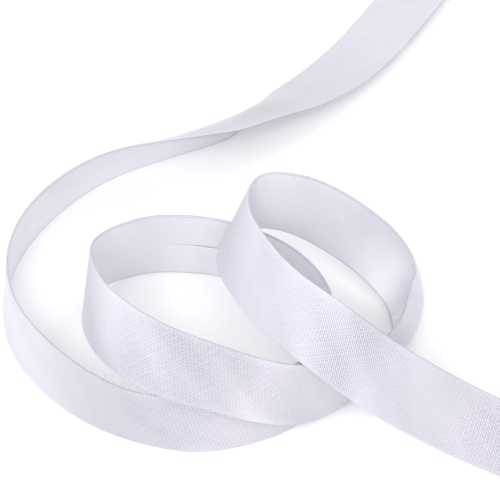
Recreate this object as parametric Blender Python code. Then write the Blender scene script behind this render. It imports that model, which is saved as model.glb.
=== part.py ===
"""Loose curled length of satin bias tape: one cloth strip standing on its lower edge."""
import math

import bpy
import numpy as np

# All lengths in the table and the constants are millimetres; the scene is in metres.
MM = 0.001
TAPE_WIDTH = 15.0
SHEET_THICKNESS = 1.0
STEP_LENGTH = 2.1
CELLS_ACROSS = 6
UPRIGHT_RISE = 0.9
COLLECTION_NAME = "curled_bias_tape"
TAPE_NAME = "tape"
TAPE_COLOR = (0.80, 0.79, 0.86, 1.0)
TAPE_ROUGHNESS = 0.35

# One row for each place along the tape, from the end lying flat at the back to the
# end running out at the front right.
# x, y: place of the lower edge; lift: its height above the surface;
# tip_x, tip_y: how far the upper edge stands off sideways from the lower edge;
# curl: degrees that the section bends over across its width.
TAPE_ROWS = [
    # x, y, lift, tip_x, tip_y, curl
    (35.0, 77.6, 0.0, 11.2, -9.2, 0),
    (28.0, 66.8, 0.0, 11.0, -9.4, 0),
    (20.8, 56.4, 0.0, 10.4, -10.0, 0),
    (14.0, 48.1, 0.0, 9.3, -10.7, 0),
    (7.4, 42.2, 0.0, 8.0, -10.9, -20),
    (1.0, 37.3, 0.0, 6.4, -10.1, -70),
    (-4.2, 31.8, 0.0, 4.2, -7.9, -115),
    (-11.2, 27.1, 0.0, 2.6, -6.7, -90),
    (-18.6, 22.9, 0.0, 1.8, -5.8, -50),
    (-26.2, 18.4, 0.0, 1.6, -4.5, -15),
    (-34.0, 12.5, 0.0, 2.0, -2.8, 0),
    (-41.5, 4.2, 0.0, 2.2, -1.0, 0),
    (-46.4, -5.0, 0.0, 2.3, 0.4, 0),
    (-47.9, -15.5, 0.0, 2.2, 1.6, 0),
    (-45.2, -25.5, 0.0, 1.8, 2.7, 0),
    (-38.8, -34.0, 0.0, 1.4, 3.0, 0),
    (-29.5, -41.0, 0.0, 0.8, 2.6, 0),
    (-19.5, -45.0, 0.0, 0.2, 2.2, 0),
    (-9.5, -46.6, 0.0, -0.5, 4.0, 0),
    (0.5, -44.8, 0.0, -1.4, 4.5, 0),
    (9.0, -40.8, 0.0, -1.5, 4.0, 0),
    (14.3, -34.0, 0.0, -0.5, 3.0, 0),
    (14.8, -25.5, 0.0, 0.4, 3.0, 0),
    (11.0, -17.6, 0.0, 0.6, 3.0, 0),
    (4.0, -11.5, 0.0, 0.4, 3.0, 0),
    (-5.0, -7.8, 0.0, 0.2, 3.1, 0),
    (-14.5, -6.6, 0.0, 0.3, 3.2, 0),
    (-23.5, -7.7, 0.0, 0.9, 3.0, 0),
    (-30.0, -13.0, 2.5, 1.9, 3.6, 0),
    (-31.7, -21.5, 6.8, 2.3, 5.8, 0),
    (-29.3, -30.5, 10.8, 2.3, 6.6, 0),
    (-23.5, -39.0, 15.0, 2.3, 6.6, 0),
    (-15.5, -44.4, 16.2, 2.2, 6.0, 0),
    (-6.5, -45.4, 12.8, 2.1, 5.0, 0),
    (2.5, -44.5, 7.0, 2.0, 4.4, 0),
    (10.5, -41.8, 2.4, 2.2, 4.2, 0),
    (17.5, -37.2, 0.6, 3.4, 3.6, 0),
    (24.6, -31.4, 0.0, 3.6, 2.8, -45),
    (30.3, -24.0, 0.0, 2.8, 2.4, -120),
    (30.0, -16.9, 0.6, 5.0, 2.3, -135),
    (24.7, -11.3, 4.2, 6.6, 2.1, -100),
    (16.8, -7.8, 8.2, 6.4, 1.7, -40),
    (9.0, -6.6, 12.3, 6.2, 1.8, 0),
    (2.0, -7.4, 16.1, 6.0, 2.6, 0),
    (-4.2, -9.8, 17.0, 5.8, 3.8, 0),
    (-6.1, -15.4, 17.0, 5.8, 4.4, 0),
    (-3.6, -23.0, 17.4, 5.9, 4.2, 0),
    (1.4, -31.2, 18.6, 6.1, 4.2, 0),
    (8.5, -38.8, 19.6, 6.5, 4.6, 0),
    (17.5, -43.2, 13.8, 6.9, 5.2, 0),
    (27.0, -45.9, 7.2, 7.0, 5.4, 0),
    (37.0, -49.7, 3.8, 6.2, 5.6, 0),
    (47.0, -53.7, 2.2, 5.6, 5.6, 0),
    (56.0, -57.6, 1.2, 5.2, 5.5, 0),
]


def clear_scene():
    """Start from an empty scene."""
    for item in list(bpy.data.objects):
        bpy.data.objects.remove(item, do_unlink=True)


def smooth_curve(knots, values, places):
    """Natural cubic spline through the rows, read at the given places."""
    count = len(knots)
    step = np.diff(knots)
    slope = np.diff(values, axis=0) / step[:, None]
    matrix = np.eye(count)
    target = np.zeros_like(values)
    for row in range(1, count - 1):
        matrix[row, row - 1] = step[row - 1]
        matrix[row, row] = 2.0 * (step[row - 1] + step[row])
        matrix[row, row + 1] = step[row]
        target[row] = 6.0 * (slope[row] - slope[row - 1])
    bend = np.linalg.solve(matrix, target)
    cell = np.clip(np.searchsorted(knots, places) - 1, 0, count - 2)
    size = step[cell][:, None]
    before = ((knots[cell + 1] - places) / step[cell])[:, None]
    after = 1.0 - before
    straight = before * values[cell] + after * values[cell + 1]
    curved = (before ** 3 - before) * bend[cell] + (after ** 3 - after) * bend[cell + 1]
    return straight + curved * size ** 2 / 6.0


def tape_stations():
    """Read the table at even steps along the middle of the tape."""
    rows = np.array(TAPE_ROWS, dtype=float)
    rise = np.sqrt(TAPE_WIDTH ** 2 - rows[:, 3] ** 2 - rows[:, 4] ** 2)
    middle = rows[:, 0:3] + 0.5 * np.column_stack([rows[:, 3], rows[:, 4], rise])
    lengths = np.linalg.norm(np.diff(middle, axis=0), axis=1)
    knots = np.concatenate([[0.0], np.cumsum(lengths)])
    count = int(math.ceil(knots[-1] / STEP_LENGTH)) + 1
    places = np.linspace(0.0, knots[-1], count)
    stations = smooth_curve(knots, rows, places)
    stations[:, 2] = np.maximum(stations[:, 2], 0.0)
    return stations


def section_line(station, along):
    """Middle line of one section, and its face direction at each point."""
    tip = station[3:5]
    rise = math.sqrt(TAPE_WIDTH ** 2 - float(tip @ tip))
    stand = np.array([tip[0], tip[1], rise]) / TAPE_WIDTH
    facing = np.cross(along, stand)
    facing /= np.linalg.norm(facing)
    middle = station[0:3] + stand * TAPE_WIDTH / 2.0
    curl = math.radians(station[5])
    fine = 8 * CELLS_ACROSS
    turn = curl * np.linspace(-0.5, 0.5, fine + 1)
    heading = np.sin(turn)[:, None] * facing + np.cos(turn)[:, None] * stand
    normal = np.cos(turn)[:, None] * facing - np.sin(turn)[:, None] * stand
    pieces = (heading[1:] + heading[:-1]) * 0.5 * TAPE_WIDTH / fine
    line = np.vstack([np.zeros(3), np.cumsum(pieces, axis=0)])
    line = line - line[fine // 2] + middle
    return line[::8], normal[::8], rise / TAPE_WIDTH


def tape_sections():
    """Corner points of every section, inner and outer face."""
    stations = tape_stations()
    foot = stations[:, 0:3]
    tip = stations[:, 3:5]
    rise = np.sqrt(TAPE_WIDTH ** 2 - np.sum(tip ** 2, axis=1))
    middle = foot + 0.5 * np.column_stack([tip, rise])
    along = np.gradient(middle, axis=0)
    along /= np.linalg.norm(along, axis=1)[:, None]
    faces = []
    for station, direction in zip(stations, along):
        line, normal, upright = section_line(station, direction)
        outer = line + normal * SHEET_THICKNESS / 2.0
        inner = line - normal * SHEET_THICKNESS / 2.0
        lowest = min(outer[:, 2].min(), inner[:, 2].min())
        outer[:, 2] += station[2] - lowest
        inner[:, 2] += station[2] - lowest
        if station[2] < 0.01 and upright > UPRIGHT_RISE:
            outer[0, 2] = 0.0
            inner[0, 2] = 0.0
        faces.append((outer, inner))
    return faces


def build_tape(collection):
    """Close the two faces, the edges and the ends into one solid."""
    faces = tape_sections()
    across = CELLS_ACROSS + 1
    points = []
    for outer, inner in faces:
        points.extend(outer)
        points.extend(inner)
    points = np.array(points)
    centre = (points.min(axis=0) + points.max(axis=0)) / 2.0
    points[:, 0:2] -= centre[0:2]
    ring = list(range(across)) + list(range(2 * across - 1, across - 1, -1))
    polygons = []
    for number in range(len(faces) - 1):
        start = number * 2 * across
        following = start + 2 * across
        for corner in range(len(ring)):
            here = ring[corner]
            beside = ring[(corner + 1) % len(ring)]
            polygons.append((start + here, following + here, following + beside))
            polygons.append((start + here, following + beside, start + beside))
    last = (len(faces) - 1) * 2 * across
    for cell in range(CELLS_ACROSS):
        polygons.append((cell, cell + 1, across + cell + 1, across + cell))
        polygons.append((last + cell + 1, last + cell, last + across + cell, last + across + cell + 1))
    mesh = bpy.data.meshes.new(TAPE_NAME)
    mesh.from_pydata([tuple(point * MM) for point in points], [], polygons)
    mesh.update()
    tape = bpy.data.objects.new(TAPE_NAME, mesh)
    collection.objects.link(tape)
    return tape


def add_material(tape):
    """Plain white satin."""
    material = bpy.data.materials.new("satin")
    material.use_nodes = True
    shader = material.node_tree.nodes["Principled BSDF"]
    shader.inputs["Base Color"].default_value = TAPE_COLOR
    shader.inputs["Roughness"].default_value = TAPE_ROUGHNESS
    tape.data.materials.append(material)


clear_scene()
collection = bpy.data.collections.new(COLLECTION_NAME)
bpy.context.scene.collection.children.link(collection)
tape = build_tape(collection)
add_material(tape)
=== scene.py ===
"""Looks of the loose curled length of satin bias tape: folded cloth, weave, light and camera."""
import math

import bmesh
import bpy
import numpy as np
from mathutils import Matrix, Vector


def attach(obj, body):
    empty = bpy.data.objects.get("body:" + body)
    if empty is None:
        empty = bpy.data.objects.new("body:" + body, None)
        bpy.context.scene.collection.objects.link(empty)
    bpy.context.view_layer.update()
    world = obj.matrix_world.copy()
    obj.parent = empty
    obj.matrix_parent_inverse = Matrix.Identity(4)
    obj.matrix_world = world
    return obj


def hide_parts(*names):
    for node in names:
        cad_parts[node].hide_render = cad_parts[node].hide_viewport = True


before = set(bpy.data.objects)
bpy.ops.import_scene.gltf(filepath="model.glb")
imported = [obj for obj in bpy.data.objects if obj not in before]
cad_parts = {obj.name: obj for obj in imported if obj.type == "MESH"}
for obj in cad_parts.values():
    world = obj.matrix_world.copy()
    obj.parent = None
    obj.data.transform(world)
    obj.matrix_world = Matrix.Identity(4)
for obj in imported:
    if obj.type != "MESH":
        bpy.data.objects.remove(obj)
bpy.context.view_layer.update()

# Lengths are millimetres here, and are turned into metres when a mesh is made.
MM = 0.001
TAPE_WIDTH = 15.0
FOOTPRINT_CENTRE = (6.460, 9.832, 0.0)
LENGTH_STEP = 0.8
CLOTH_THICKNESS = 0.14
FOLD_RADIUS = 0.17
FACE_DIP = 0.03
LOWER_FLAP_LIFT = 0.15
UPPER_FLAP_LIFT = 0.14
STRAIGHT_CURL = 1e-5

# Cells of the folded profile: one flap, one fold, the face; how the flaps' cells crowd
# toward the raw edges, and how flat the dip of the face is.
FLAP_CELLS = 6
FOLD_CELLS = 8
FACE_CELLS = 18
FLAP_CROWDING = 3
DIP_SHAPE = 0.6

# Points of the profile at the middle of the lower and of the upper fold.
LOWER_FOLD_POINT = FLAP_CELLS + FOLD_CELLS // 2
UPPER_FOLD_POINT = LOWER_FOLD_POINT + FOLD_CELLS + FACE_CELLS

# Gap between the two flaps' raw edges, in mm, at distances along the tape in mm.
FLAP_GAPS = [
    # place, gap
    (0.0, 0.03),
    (238.0, 0.03),
    (248.0, 0.26),
    (255.0, 0.06),
    (265.0, 0.03),
    (504.0, 0.03),
]

# One row for each place along the tape, from the end lying flat at the back to the
# end running out at the front right; the same rows as in the part's source.
# x, y: place of the lower edge; lift: its height above the surface;
# tip_x, tip_y: how far the upper edge stands off sideways from the lower edge;
# curl: degrees that the section bends over across its width.
TAPE_ROWS = [
    # x, y, lift, tip_x, tip_y, curl
    (35.0, 77.6, 0.0, 11.2, -9.2, 0),
    (28.0, 66.8, 0.0, 11.0, -9.4, 0),
    (20.8, 56.4, 0.0, 10.4, -10.0, 0),
    (14.0, 48.1, 0.0, 9.3, -10.7, 0),
    (7.4, 42.2, 0.0, 8.0, -10.9, -20),
    (1.0, 37.3, 0.0, 6.4, -10.1, -70),
    (-4.2, 31.8, 0.0, 4.2, -7.9, -115),
    (-11.2, 27.1, 0.0, 2.6, -6.7, -90),
    (-18.6, 22.9, 0.0, 1.8, -5.8, -50),
    (-26.2, 18.4, 0.0, 1.6, -4.5, -15),
    (-34.0, 12.5, 0.0, 2.0, -2.8, 0),
    (-41.5, 4.2, 0.0, 2.2, -1.0, 0),
    (-46.4, -5.0, 0.0, 2.3, 0.4, 0),
    (-47.9, -15.5, 0.0, 2.2, 1.6, 0),
    (-45.2, -25.5, 0.0, 1.8, 2.7, 0),
    (-38.8, -34.0, 0.0, 1.4, 3.0, 0),
    (-29.5, -41.0, 0.0, 0.8, 2.6, 0),
    (-19.5, -45.0, 0.0, 0.2, 2.2, 0),
    (-9.5, -46.6, 0.0, -0.5, 4.0, 0),
    (0.5, -44.8, 0.0, -1.4, 4.5, 0),
    (9.0, -40.8, 0.0, -1.5, 4.0, 0),
    (14.3, -34.0, 0.0, -0.5, 3.0, 0),
    (14.8, -25.5, 0.0, 0.4, 3.0, 0),
    (11.0, -17.6, 0.0, 0.6, 3.0, 0),
    (4.0, -11.5, 0.0, 0.4, 3.0, 0),
    (-5.0, -7.8, 0.0, 0.2, 3.1, 0),
    (-14.5, -6.6, 0.0, 0.3, 3.2, 0),
    (-23.5, -7.7, 0.0, 0.9, 3.0, 0),
    (-30.0, -13.0, 2.5, 1.9, 3.6, 0),
    (-31.7, -21.5, 6.8, 2.3, 5.8, 0),
    (-29.3, -30.5, 10.8, 2.3, 6.6, 0),
    (-23.5, -39.0, 15.0, 2.3, 6.6, 0),
    (-15.5, -44.4, 16.2, 2.2, 6.0, 0),
    (-6.5, -45.4, 12.8, 2.1, 5.0, 0),
    (2.5, -44.5, 7.0, 2.0, 4.4, 0),
    (10.5, -41.8, 2.4, 2.2, 4.2, 0),
    (17.5, -37.2, 0.6, 3.4, 3.6, 0),
    (24.6, -31.4, 0.0, 3.6, 2.8, -45),
    (30.3, -24.0, 0.0, 2.8, 2.4, -120),
    (30.0, -16.9, 0.6, 5.0, 2.3, -135),
    (24.7, -11.3, 4.2, 6.6, 2.1, -100),
    (16.8, -7.8, 8.2, 6.4, 1.7, -40),
    (9.0, -6.6, 12.3, 6.2, 1.8, 0),
    (2.0, -7.4, 16.1, 6.0, 2.6, 0),
    (-4.2, -9.8, 17.0, 5.8, 3.8, 0),
    (-6.1, -15.4, 17.0, 5.8, 4.4, 0),
    (-3.6, -23.0, 17.4, 5.9, 4.2, 0),
    (1.4, -31.2, 18.6, 6.1, 4.2, 0),
    (8.5, -38.8, 19.6, 6.5, 4.6, 0),
    (17.5, -43.2, 13.8, 6.9, 5.2, 0),
    (27.0, -45.9, 7.2, 7.0, 5.4, 0),
    (37.0, -49.7, 3.8, 6.2, 5.6, 0),
    (47.0, -53.7, 2.2, 5.6, 5.6, 0),
    (56.0, -57.6, 1.2, 5.2, 5.5, 0),
]

# The cloth's own coordinates run along and across it, at this many units a millimetre.
CLOTH_UNITS = 0.01

# Floats of the weave, in units of the turned and scaled cloth coordinates.
BIAS_ANGLE = 45.0
WEAVE_SCALE = 58.0
FLOAT_LENGTH = 0.72
FLOAT_STEP = 0.235
FLOAT_GAP = 0.11
FLOAT_OFFSET = 0.4

# Comb of floats beside both folds, and a dark dashed line of painted crease shade on the upper
# fold; pitch and reaches in mm, swing and level as shares of the full relief.
COMB_PITCH = 0.50
COMB_REACH = 1.5
COMB_SWING = 0.25
COMB_LEVEL = 0.50
CREASE_SHADE_REACH = 0.30
DASH_STRENGTH = 0.9

# Colours of the floats; of the floats where a painted rosy highlight shows; of the hollows
# between them, which is painted shade; of the flaps on the back, their own colour brightened by
# painted light; and of the line on the upper fold, which is painted crease shade.
BRIGHT_CLOTH = (0.71, 0.70, 0.765, 1.0)
ROSE_HIGHLIGHT_CLOTH = (0.77, 0.69, 0.75, 1.0)
PAINTED_HOLLOW_SHADE = (0.42, 0.405, 0.50, 1.0)
FLAP_CLOTH_AND_PAINTED_LIGHT = (0.865, 0.85, 0.91, 1.0)
PAINTED_CREASE_SHADE = (0.34, 0.33, 0.40, 1.0)

# How far past the fold lines the flaps begin, in mm, and the least share of smooth relief
# and the share of flap colour that they have; height of smooth relief, as a share; depth
# of the relief and reach of light in the cloth, in mm.
FLAP_MARGIN = 0.4
FLAP_SMOOTHNESS = 0.75
SMOOTH_RELIEF = 0.9
RELIEF_DEPTH = 0.06
GLOW_REACH = 0.3

# Soft clouds that vary the tone and the strength of the weave: factor and added number.
CLOUD_SCALE = 5.0
CLOUD_DETAIL = 2.0
CLOUD_STRETCH = (0.012, 0.04, 1.0)
CLOUD_TONE = (0.16, 0.92)
CLOUD_WEAVE = (-1.2, 1.6)

# Gloss of the satin, the same all over.
SATIN_GLOSS = {
    "Roughness": 0.36,
    "Specular IOR Level": 0.8,
    "Anisotropic": 0.4,
    "Anisotropic Rotation": BIAS_ANGLE / 360.0,
    "Sheen Weight": 0.1,
    "Subsurface Weight": 0.4,
    "Subsurface Radius": (1.0, 1.0, 1.0),
}

# Tones pass through a colour ramp divided by this range, so that they stay under one.
TONE_RANGE = 2.0

# Painted sheen of the satin along the tape, at distances along it in mm: tone is painted
# highlight and painted shade in the cloth's brightness, weave is how strongly the single floats
# stand out against the painted shade of their hollows, rose is how strongly the painted rosy
# highlight shows.
PAINTED_SHEEN_ZONES = [
    # place, tone, weave, rose: painted sheen, float contrast, painted rosy highlight
    (0.0, 0.98, 0.15, 0.0),
    (40.0, 0.92, 0.15, 0.0),
    (62.0, 0.83, 0.20, 0.0),
    (80.0, 0.99, 0.10, 0.0),
    (139.0, 0.96, 0.10, 0.0),
    (151.0, 0.88, 0.20, 0.0),
    (161.0, 0.85, 0.45, 0.0),
    (169.0, 0.88, 0.80, 0.0),
    (180.0, 1.00, 1.00, 0.2),
    (187.0, 1.01, 0.90, 0.6),
    (194.0, 0.91, 0.35, 0.0),
    (246.0, 1.01, 0.30, 0.0),
    (259.0, 0.91, 0.25, 0.0),
    (272.0, 1.05, 0.20, 0.0),
    (285.0, 1.07, 0.20, 0.0),
    (296.0, 1.09, 0.40, 0.0),
    (304.0, 1.05, 1.00, 0.1),
    (312.0, 0.91, 0.95, 0.0),
    (323.0, 0.98, 1.00, 0.4),
    (329.0, 1.15, 0.95, 0.6),
    (337.0, 0.87, 0.40, 0.0),
    (368.0, 0.91, 0.40, 0.0),
    (379.0, 1.08, 0.25, 0.0),
    (390.0, 0.96, 0.20, 0.0),
    (423.0, 1.01, 0.40, 0.0),
    (440.0, 1.17, 0.45, 0.0),
    (448.0, 1.08, 0.65, 0.1),
    (456.0, 0.95, 1.00, 0.1),
    (465.0, 0.96, 0.55, 0.0),
    (475.0, 0.83, 0.45, 0.0),
    (485.0, 0.95, 1.00, 0.5),
    (504.0, 0.94, 0.70, 0.0),
]

# Camera: straight ahead of the object, looking down at it with a long lens.
CAMERA_ELEVATION = 55.0
CAMERA_DISTANCE = 340.0
CAMERA_LENS = 122.4
SENSOR_WIDTH = 36.0

# Surface under the tape, and light from all round.
FLOOR_SIZE = 4.0
FLOOR_COLOUR = (0.91, 0.91, 0.915, 1.0)
FLOOR_ROUGHNESS = 0.9
SKY_COLOUR = (0.99, 0.99, 1.0, 1.0)
SKY_STRENGTH = 0.56

# Large soft light above the viewing side, and weaker ones at the back and the left;
# places and sizes in metres, powers in watts.
LIGHTS = [
    # name, place, size, power, colour
    ("main", (0.02, -0.72, 1.00), 1.0, 11.0, (1.0, 1.0, 1.0)),
    ("back", (0.40, 0.50, 0.95), 0.7, 3.0, (1.0, 0.99, 0.98)),
    ("left", (-0.74, -0.10, 0.80), 0.6, 3.4, (1.0, 0.98, 1.0)),
]


def smooth_curve(knots, values, places):
    """Natural cubic spline through the rows, read at the given places."""
    count = len(knots)
    step = np.diff(knots)
    slope = np.diff(values, axis=0) / step[:, None]
    matrix = np.eye(count)
    target = np.zeros_like(values)
    for row in range(1, count - 1):
        matrix[row, row - 1] = step[row - 1]
        matrix[row, row] = 2.0 * (step[row - 1] + step[row])
        matrix[row, row + 1] = step[row]
        target[row] = 6.0 * (slope[row] - slope[row - 1])
    bend = np.linalg.solve(matrix, target)
    cell = np.clip(np.searchsorted(knots, places) - 1, 0, count - 2)
    size = step[cell][:, None]
    before = ((knots[cell + 1] - places) / step[cell])[:, None]
    after = 1.0 - before
    straight = before * values[cell] + after * values[cell + 1]
    curved = (before ** 3 - before) * bend[cell] + (after ** 3 - after) * bend[cell + 1]
    return straight + curved * size ** 2 / 6.0


def tape_stations():
    """Rows read at even steps along the middle of the tape, with their distance along it."""
    rows = np.array(TAPE_ROWS, dtype=float)
    rise = np.sqrt(TAPE_WIDTH ** 2 - rows[:, 3] ** 2 - rows[:, 4] ** 2)
    middle = rows[:, 0:3] + 0.5 * np.column_stack([rows[:, 3], rows[:, 4], rise])
    lengths = np.linalg.norm(np.diff(middle, axis=0), axis=1)
    knots = np.concatenate([[0.0], np.cumsum(lengths)])
    count = int(math.ceil(knots[-1] / LENGTH_STEP)) + 1
    places = np.linspace(0.0, knots[-1], count)
    stations = smooth_curve(knots, rows, places)
    stations[:, 2] = np.maximum(stations[:, 2], 0.0)
    return places, stations


def folded_profile(gap):
    """Middle line of the folded cloth across the tape: flap, fold, face, fold, flap.

    Each point is (across, depth, cut), where cut runs over the cloth's width before folding.
    """
    points = []
    half = TAPE_WIDTH / 2.0 - FOLD_RADIUS - CLOTH_THICKNESS / 2.0
    reach = half - gap / 2.0
    for cell in range(FLAP_CELLS):
        part = (cell / FLAP_CELLS) ** FLAP_CROWDING
        across = -gap / 2.0 - reach * part
        depth = -LOWER_FLAP_LIFT - (FOLD_RADIUS - LOWER_FLAP_LIFT) * part ** 2
        points.append((across, depth))
    for cell in range(FOLD_CELLS + 1):
        angle = math.pi * (0.5 + cell / FOLD_CELLS)
        points.append((-half + FOLD_RADIUS * math.cos(angle), -FOLD_RADIUS * math.sin(angle)))
    for cell in range(1, FACE_CELLS):
        part = cell / FACE_CELLS
        depth = FOLD_RADIUS - FACE_DIP * math.sin(math.pi * part) ** DIP_SHAPE
        points.append((-half + 2.0 * half * part, depth))
    for cell in range(FOLD_CELLS + 1):
        angle = math.pi * (0.5 - cell / FOLD_CELLS)
        points.append((half + FOLD_RADIUS * math.cos(angle), FOLD_RADIUS * math.sin(angle)))
    for cell in range(1, FLAP_CELLS + 1):
        part = 1.0 - (1.0 - cell / FLAP_CELLS) ** FLAP_CROWDING
        across = half - reach * part
        depth = -FOLD_RADIUS + (FOLD_RADIUS - UPPER_FLAP_LIFT) * part ** 2
        points.append((across, depth))
    points = np.array(points)
    steps = np.linalg.norm(np.diff(points, axis=0), axis=1)
    cut = np.concatenate([[0.0], np.cumsum(steps)])
    return np.column_stack([points, cut])


def profile_sides(profile):
    """Outer and inner side of the cloth's profile."""
    run = np.gradient(profile[:, 0:2], axis=0)
    run /= np.linalg.norm(run, axis=1)[:, None]
    square = np.column_stack([-run[:, 1], run[:, 0]])
    outer = profile[:, 0:2] + square * CLOTH_THICKNESS / 2.0
    inner = profile[:, 0:2] - square * CLOTH_THICKNESS / 2.0
    return outer, inner


def section_points(station, along, outline):
    """Place the cloth's outline on the bent section at a station."""
    tip = station[3:5]
    rise = math.sqrt(TAPE_WIDTH ** 2 - float(tip @ tip))
    stand = np.array([tip[0], tip[1], rise]) / TAPE_WIDTH
    facing = np.cross(along, stand)
    facing /= np.linalg.norm(facing)
    middle = station[0:3] + stand * TAPE_WIDTH / 2.0
    curl = math.radians(station[5]) / TAPE_WIDTH
    across = outline[:, 0]
    depth = outline[:, 1]
    if abs(curl) > STRAIGHT_CURL:
        rise_along = np.sin(curl * across) / curl
        fall_off = (1.0 - np.cos(curl * across)) / curl
    else:
        rise_along = across
        fall_off = np.zeros_like(across)
    turn = curl * across
    point = middle + rise_along[:, None] * stand + fall_off[:, None] * facing
    point = point + (np.cos(turn) * depth)[:, None] * facing
    point = point - (np.sin(turn) * depth)[:, None] * stand
    point[:, 2] += station[2] - point[:, 2].min()
    return point


def build_tape():
    """The folded cloth as one closed sheet, with its own length and width coordinates."""
    places, stations = tape_stations()
    tip = stations[:, 3:5]
    rise = np.sqrt(TAPE_WIDTH ** 2 - np.sum(tip ** 2, axis=1))
    middle = stations[:, 0:3] + 0.5 * np.column_stack([tip, rise])
    along = np.gradient(middle, axis=0)
    along /= np.linalg.norm(along, axis=1)[:, None]
    profile = folded_profile(FLAP_GAPS[0][1])
    cut = np.concatenate([profile[:, 2], profile[::-1, 2]])
    size = len(cut)
    gap_places = [row[0] for row in FLAP_GAPS]
    gap_widths = [row[1] for row in FLAP_GAPS]
    gaps = np.interp(places, gap_places, gap_widths)
    points = []
    for station, direction, gap in zip(stations, along, gaps):
        outer, inner = profile_sides(folded_profile(gap))
        points.append(section_points(station, direction, np.vstack([outer, inner[::-1]])))
    points = np.array(points) - np.array(FOOTPRINT_CENTRE)
    mesh = bpy.data.meshes.new("folded_tape")
    count = len(places)
    polygons = []
    for number in range(count - 1):
        start = number * size
        following = start + size
        for corner in range(size):
            beside = (corner + 1) % size
            near_side = (start + corner, start + beside)
            far_side = (following + beside, following + corner)
            polygons.append(near_side + far_side)
    polygons.append(tuple(range(size - 1, -1, -1)))
    last = (count - 1) * size
    polygons.append(tuple(range(last, last + size)))
    mesh.from_pydata((points.reshape(-1, 3) * MM).tolist(), [], polygons)
    layer = mesh.uv_layers.new(name="cloth")
    for polygon in mesh.polygons:
        for loop_index in polygon.loop_indices:
            vertex = mesh.loops[loop_index].vertex_index
            number, corner = divmod(vertex, size)
            layer.data[loop_index].uv = (places[number] * CLOTH_UNITS, cut[corner] * CLOTH_UNITS)
    for polygon in mesh.polygons:
        polygon.use_smooth = len(polygon.vertices) == 4
    mesh.update()
    tape = bpy.data.objects.new("folded_tape", mesh)
    bpy.context.scene.collection.objects.link(tape)
    shape = bmesh.new()
    shape.from_mesh(mesh)
    bmesh.ops.recalc_face_normals(shape, faces=shape.faces)
    shape.to_mesh(mesh)
    shape.free()
    folds = (profile[LOWER_FOLD_POINT, 2], profile[UPPER_FOLD_POINT, 2])
    return tape, profile[-1, 2], places[-1], folds


def value_node(nodes, links, operation, first, second=None, third=None):
    """Math node fed by sockets or plain numbers; returns its output."""
    node = nodes.new("ShaderNodeMath")
    node.operation = operation
    for place, given in enumerate((first, second, third)):
        if given is None:
            continue
        if isinstance(given, (int, float)):
            node.inputs[place].default_value = given
        else:
            links.new(given, node.inputs[place])
    return node.outputs[0]


def near_line(nodes, links, across, line, reach):
    """One on a line of the cloth, falling to zero at the given reach on both sides (mm)."""
    away = value_node(nodes, links, "SUBTRACT", across, line)
    away = value_node(nodes, links, "ABSOLUTE", away)
    away = value_node(nodes, links, "DIVIDE", away, reach)
    node = nodes.new("ShaderNodeMapRange")
    node.interpolation_type = "SMOOTHSTEP"
    node.inputs["From Min"].default_value = 1.0
    node.inputs["From Max"].default_value = 0.0
    links.new(away, node.inputs["Value"])
    return node.outputs["Result"]


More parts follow.
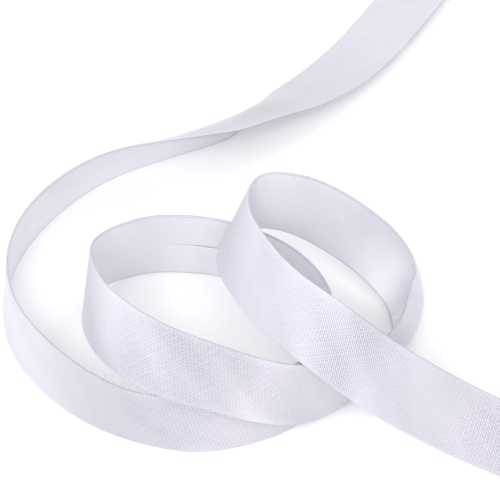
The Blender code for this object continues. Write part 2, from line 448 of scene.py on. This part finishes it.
def satin_material(folds):
    """White satin cut on the bias: floats at 45 degrees, combed square across the folds, with
    painted shade in the hollows and on the upper fold, painted sheen along the tape and painted
    light on the flaps.
    """
    material = bpy.data.materials.new("white_satin")
    material.use_nodes = True
    nodes = material.node_tree.nodes
    links = material.node_tree.links
    shader = nodes["Principled BSDF"]
    for name, amount in SATIN_GLOSS.items():
        shader.inputs[name].default_value = amount
    shader.inputs["Subsurface Scale"].default_value = GLOW_REACH * MM
    place = nodes.new("ShaderNodeUVMap")
    place.uv_map = "cloth"
    turn = nodes.new("ShaderNodeMapping")
    turn.inputs["Rotation"].default_value = (0.0, 0.0, math.radians(BIAS_ANGLE))
    turn.inputs["Scale"].default_value = (WEAVE_SCALE, WEAVE_SCALE, WEAVE_SCALE)
    links.new(place.outputs["UV"], turn.inputs["Vector"])
    floats = nodes.new("ShaderNodeTexBrick")
    floats.offset = FLOAT_OFFSET
    floats.inputs["Scale"].default_value = 1.0
    floats.inputs["Mortar Size"].default_value = FLOAT_GAP
    floats.inputs["Mortar Smooth"].default_value = 1.0
    floats.inputs["Brick Width"].default_value = FLOAT_LENGTH
    floats.inputs["Row Height"].default_value = FLOAT_STEP
    links.new(turn.outputs["Vector"], floats.inputs["Vector"])
    parts = nodes.new("ShaderNodeSeparateXYZ")
    links.new(place.outputs["UV"], parts.inputs["Vector"])
    along = value_node(nodes, links, "MULTIPLY", parts.outputs["X"], 1.0 / CLOTH_UNITS)
    across = value_node(nodes, links, "MULTIPLY", parts.outputs["Y"], 1.0 / CLOTH_UNITS)
    comb = value_node(nodes, links, "MULTIPLY", along, 2.0 * math.pi / COMB_PITCH)
    comb = value_node(nodes, links, "SINE", comb)
    comb = value_node(nodes, links, "MULTIPLY_ADD", comb, COMB_SWING, COMB_LEVEL)
    lower_comb = near_line(nodes, links, across, folds[0], COMB_REACH)
    upper_comb = near_line(nodes, links, across, folds[1], COMB_REACH)
    combed = value_node(nodes, links, "MAXIMUM", lower_comb, upper_comb)
    # Painted crease shade: a dark dashed line along the upper fold.
    crease_shade_mask = near_line(nodes, links, across, folds[1], CREASE_SHADE_REACH)
    dashes = value_node(nodes, links, "MULTIPLY_ADD", comb, -DASH_STRENGTH, 1.0)
    crease_shade_mask = value_node(nodes, links, "MULTIPLY", crease_shade_mask, dashes)
    gap = value_node(nodes, links, "SUBTRACT", 1.0, floats.outputs["Fac"])
    relief = nodes.new("ShaderNodeMix")
    relief.data_type = "FLOAT"
    links.new(combed, relief.inputs["Factor"])
    links.new(gap, relief.inputs["A"])
    links.new(comb, relief.inputs["B"])
    # Painted sheen along the tape: painted highlight and shade tone, float contrast, painted
    # rosy highlight.
    zones = nodes.new("ShaderNodeValToRGB")
    stops = zones.color_ramp.elements
    for row, (place_along, tone, weave, rose_highlight) in enumerate(PAINTED_SHEEN_ZONES):
        stop = stops[row] if row < len(stops) else stops.new(1.0)
        stop.position = place_along / PAINTED_SHEEN_ZONES[-1][0]
        stop.color = (tone / TONE_RANGE, weave, rose_highlight, 1.0)
    spot = value_node(nodes, links, "DIVIDE", along, PAINTED_SHEEN_ZONES[-1][0])
    links.new(spot, zones.inputs["Fac"])
    zone = nodes.new("ShaderNodeSeparateColor")
    links.new(zones.outputs["Color"], zone.inputs["Color"])
    cloud = nodes.new("ShaderNodeTexNoise")
    cloud.inputs["Scale"].default_value = CLOUD_SCALE
    cloud.inputs["Detail"].default_value = CLOUD_DETAIL
    stretch = nodes.new("ShaderNodeMapping")
    stretch.inputs["Scale"].default_value = CLOUD_STRETCH
    links.new(turn.outputs["Vector"], stretch.inputs["Vector"])
    links.new(stretch.outputs["Vector"], cloud.inputs["Vector"])
    cloud_tone = value_node(nodes, links, "MULTIPLY_ADD", cloud.outputs["Fac"], *CLOUD_TONE)
    cloud_weave = value_node(nodes, links, "MULTIPLY_ADD", cloud.outputs["Fac"], *CLOUD_WEAVE)
    weave = value_node(nodes, links, "MULTIPLY", zone.outputs["Green"], cloud_weave)
    weave = value_node(nodes, links, "MINIMUM", weave, 1.0)
    smoothed = nodes.new("ShaderNodeMix")
    smoothed.data_type = "FLOAT"
    smoothed.inputs["B"].default_value = SMOOTH_RELIEF
    face_middle = (folds[0] + folds[1]) / 2.0
    face_reach = (folds[1] - folds[0]) / 2.0 + FLAP_MARGIN
    folded_back = value_node(nodes, links, "SUBTRACT", across, face_middle)
    folded_back = value_node(nodes, links, "ABSOLUTE", folded_back)
    folded_back = value_node(nodes, links, "GREATER_THAN", folded_back, face_reach)
    flap_share = value_node(nodes, links, "MULTIPLY", folded_back, FLAP_SMOOTHNESS)
    calm = value_node(nodes, links, "SUBTRACT", 1.0, weave)
    calm = value_node(nodes, links, "MAXIMUM", calm, flap_share)
    links.new(calm, smoothed.inputs["Factor"])
    links.new(relief.outputs["Result"], smoothed.inputs["A"])
    # Painted rosy highlight on the floats, where the sheen zones call for it.
    rose_highlight = nodes.new("ShaderNodeMix")
    rose_highlight.data_type = "RGBA"
    rose_highlight.inputs["A"].default_value = BRIGHT_CLOTH
    rose_highlight.inputs["B"].default_value = ROSE_HIGHLIGHT_CLOTH
    links.new(zone.outputs["Blue"], rose_highlight.inputs["Factor"])
    # Floats against the painted shade of the hollows; the same relief also drives the bump.
    floats_and_hollow_shade = nodes.new("ShaderNodeMix")
    floats_and_hollow_shade.data_type = "RGBA"
    floats_and_hollow_shade.inputs["A"].default_value = PAINTED_HOLLOW_SHADE
    links.new(rose_highlight.outputs["Result"], floats_and_hollow_shade.inputs["B"])
    links.new(smoothed.outputs["Result"], floats_and_hollow_shade.inputs["Factor"])
    # The flaps' own smooth colour, brightened by painted light on the inner side of the tape.
    flap_colour_and_light = nodes.new("ShaderNodeMix")
    flap_colour_and_light.data_type = "RGBA"
    flap_colour_and_light.inputs["B"].default_value = FLAP_CLOTH_AND_PAINTED_LIGHT
    links.new(flap_share, flap_colour_and_light.inputs["Factor"])
    links.new(floats_and_hollow_shade.outputs["Result"], flap_colour_and_light.inputs["A"])
    # Painted crease shade laid over the cloth colour.
    crease_shade = nodes.new("ShaderNodeMix")
    crease_shade.data_type = "RGBA"
    crease_shade.inputs["B"].default_value = PAINTED_CREASE_SHADE
    links.new(crease_shade_mask, crease_shade.inputs["Factor"])
    links.new(flap_colour_and_light.outputs["Result"], crease_shade.inputs["A"])
    toned = nodes.new("ShaderNodeVectorMath")
    toned.operation = "SCALE"
    links.new(crease_shade.outputs["Result"], toned.inputs[0])
    # Painted highlight and shade from the sheen zones, varied at random by the clouds.
    tone = value_node(nodes, links, "MULTIPLY", zone.outputs["Red"], TONE_RANGE)
    tone = value_node(nodes, links, "MULTIPLY", tone, cloud_tone)
    links.new(tone, toned.inputs["Scale"])
    links.new(toned.outputs["Vector"], shader.inputs["Base Color"])
    bump = nodes.new("ShaderNodeBump")
    bump.inputs["Strength"].default_value = 1.0
    bump.inputs["Distance"].default_value = RELIEF_DEPTH * MM
    links.new(smoothed.outputs["Result"], bump.inputs["Height"])
    links.new(bump.outputs["Normal"], shader.inputs["Normal"])
    tangent = nodes.new("ShaderNodeTangent")
    tangent.direction_type = "UV_MAP"
    tangent.uv_map = "cloth"
    links.new(tangent.outputs["Tangent"], shader.inputs["Tangent"])
    return material


def add_floor():
    """Plain white surface under the tape."""
    bpy.ops.mesh.primitive_plane_add(size=FLOOR_SIZE, location=(0.0, 0.0, 0.0))
    floor = bpy.context.object
    floor.name = "floor"
    material = bpy.data.materials.new("white_surface")
    material.use_nodes = True
    shader = material.node_tree.nodes["Principled BSDF"]
    shader.inputs["Base Color"].default_value = FLOOR_COLOUR
    shader.inputs["Roughness"].default_value = FLOOR_ROUGHNESS
    floor.data.materials.append(material)


def add_area_light(name, place, size, power, colour):
    """Soft square light aimed at the object."""
    data = bpy.data.lights.new(name, "AREA")
    data.shape = "SQUARE"
    data.size = size
    data.energy = power
    data.color = colour
    light = bpy.data.objects.new(name, data)
    light.location = place
    light.rotation_euler = (-Vector(place)).to_track_quat("-Z", "Y").to_euler()
    bpy.context.scene.collection.objects.link(light)


def add_lights():
    """The three soft lights, and even fill from all round."""
    for name, place, size, power, colour in LIGHTS:
        add_area_light(name, place, size, power, colour)
    world = bpy.data.worlds.new("studio")
    world.use_nodes = True
    sky = world.node_tree.nodes["Background"]
    sky.inputs["Color"].default_value = SKY_COLOUR
    sky.inputs["Strength"].default_value = SKY_STRENGTH
    bpy.context.scene.world = world
    bpy.context.scene.view_settings.view_transform = "Standard"


def add_camera():
    """Long lens, looking down at the angle worked out for the photograph."""
    elevation = math.radians(CAMERA_ELEVATION)
    data = bpy.data.cameras.new("camera")
    data.lens = CAMERA_LENS
    data.sensor_width = SENSOR_WIDTH
    camera = bpy.data.objects.new("camera", data)
    back = -CAMERA_DISTANCE * math.cos(elevation)
    up = CAMERA_DISTANCE * math.sin(elevation)
    place = Vector((-FOOTPRINT_CENTRE[0], back - FOOTPRINT_CENTRE[1], up))
    camera.location = place * MM
    camera.rotation_euler = (math.radians(90.0) - elevation, 0.0, 0.0)
    bpy.context.scene.collection.objects.link(camera)
    bpy.context.scene.camera = camera


add_camera()
add_floor()
add_lights()
tape, cut_width, tape_length, fold_lines = build_tape()
tape.data.materials.append(satin_material(fold_lines))
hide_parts("tape")
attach(tape, "root")
